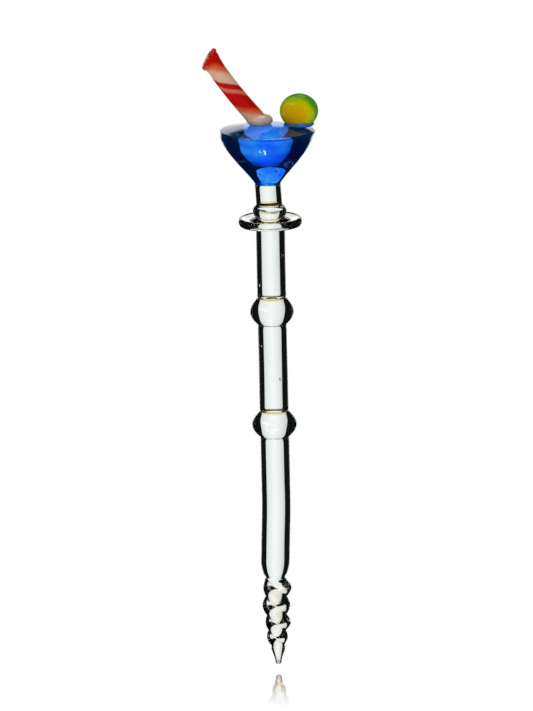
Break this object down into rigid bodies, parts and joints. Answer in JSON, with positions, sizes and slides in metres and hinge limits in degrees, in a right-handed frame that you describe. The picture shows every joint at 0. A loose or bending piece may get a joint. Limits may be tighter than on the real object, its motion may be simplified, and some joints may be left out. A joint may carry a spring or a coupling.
{
  "type": "glass dip pen",
  "caption": "Lampworked glass dip pen: a spiral glass nib on a clear beaded rod, topped by a small blue cocktail glass with a striped straw and a lime slice.",
  "frame": {"origin": "on the rod's axis at the grip, 42 mm above the writing tip, where the fingers hold the pen", "axes": "+Z along the pen's axis from the nib to the cup, -Y the front, +X the side of the lime; the straw leans towards -X"},
  "size_m": [0.0316, 0.0262, 0.175],
  "materials": {
    "clear_glass": "fire-polished, clear, faint green tint",
    "cobalt_glass": "fire-polished, transparent cobalt blue with a few seed bubbles",
    "red_glass": "fire-polished, opaque red blending to orange at its edges",
    "ivory_glass": "fire-polished, opaque warm white",
    "lime_glass": "fire-polished, transparent yellow green",
    "amber_glass": "translucent amber, set in the lime's peel"
  },
  "bodies": {
    "root": {"nib_point": "clear_glass", "nib_strand_front": "clear_glass", "nib_strand_back": "clear_glass", "nib_shoulder": "clear_glass", "grip_rod": "clear_glass", "lower_bead": "clear_glass", "middle_rod": "clear_glass", "upper_bead": "clear_glass", "upper_rod": "clear_glass", "collar_disc": "clear_glass", "neck_bead": "clear_glass", "neck_rod": "clear_glass", "cup_foot": "cobalt_glass", "cup_bowl": "cobalt_glass", "straw_foot": "ivory_glass", "straw_cane_red_wide": "red_glass", "straw_cane_white_wide": "ivory_glass", "straw_cane_red_narrow": "red_glass", "straw_cane_white_narrow": "ivory_glass", "straw_lip": "red_glass", "lime_foot": "lime_glass", "lime_peel": "lime_glass", "lime_flesh": "amber_glass"}
  },
  "joints": []
}
